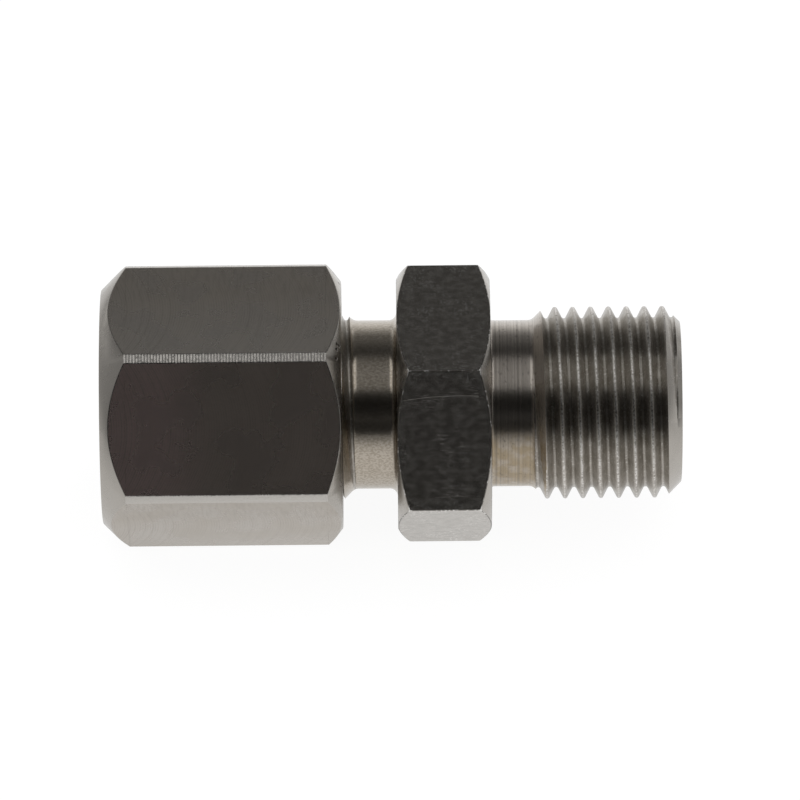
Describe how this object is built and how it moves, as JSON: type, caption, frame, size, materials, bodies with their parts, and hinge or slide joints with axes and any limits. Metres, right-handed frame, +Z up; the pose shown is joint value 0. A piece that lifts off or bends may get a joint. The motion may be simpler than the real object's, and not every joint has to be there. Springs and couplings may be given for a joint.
{
  "type": "thermocouple compression fitting",
  "caption": "Straight stainless compression fitting: hexagonal nut on a threaded spigot, hexagonal body, undercut neck and parallel pipe thread, bored through for a probe.",
  "frame": {"origin": "on the axis of the bore, in the plane of the port face of the hexagon", "axes": "+X along the bore towards the process thread, +Z up as the fitting lies on a table, and the nut at -X"},
  "size_m": [0.0293, 0.0146, 0.013],
  "materials": {
    "turned_body": "drawn flats and fine turned necks",
    "milled_nut": "face-milled flats and turned rims",
    "ferrule": "fine turned"
  },
  "bodies": {
    "fitting": {"fitting_body": "turned_body"},
    "olive": {"ferrule": "ferrule"},
    "nut": {"compression_nut": "milled_nut"}
  },
  "joints": [
    {"name": "nut_travel", "type": "slide", "parent": "fitting", "child": "olive", "axis": [1, 0, 0], "range_m": [-0.00651, 0]},
    {"name": "nut_turn", "type": "hinge", "parent": "olive", "child": "nut", "pos_m": [-0.0136, 0, 0], "axis": [1, 0, 0], "range_deg": [-2580, 0]}
  ],
  "couplings": [
    {"joint": "nut_travel", "follows": "nut_turn", "m_per_rad": 0.00014435}
  ]
}
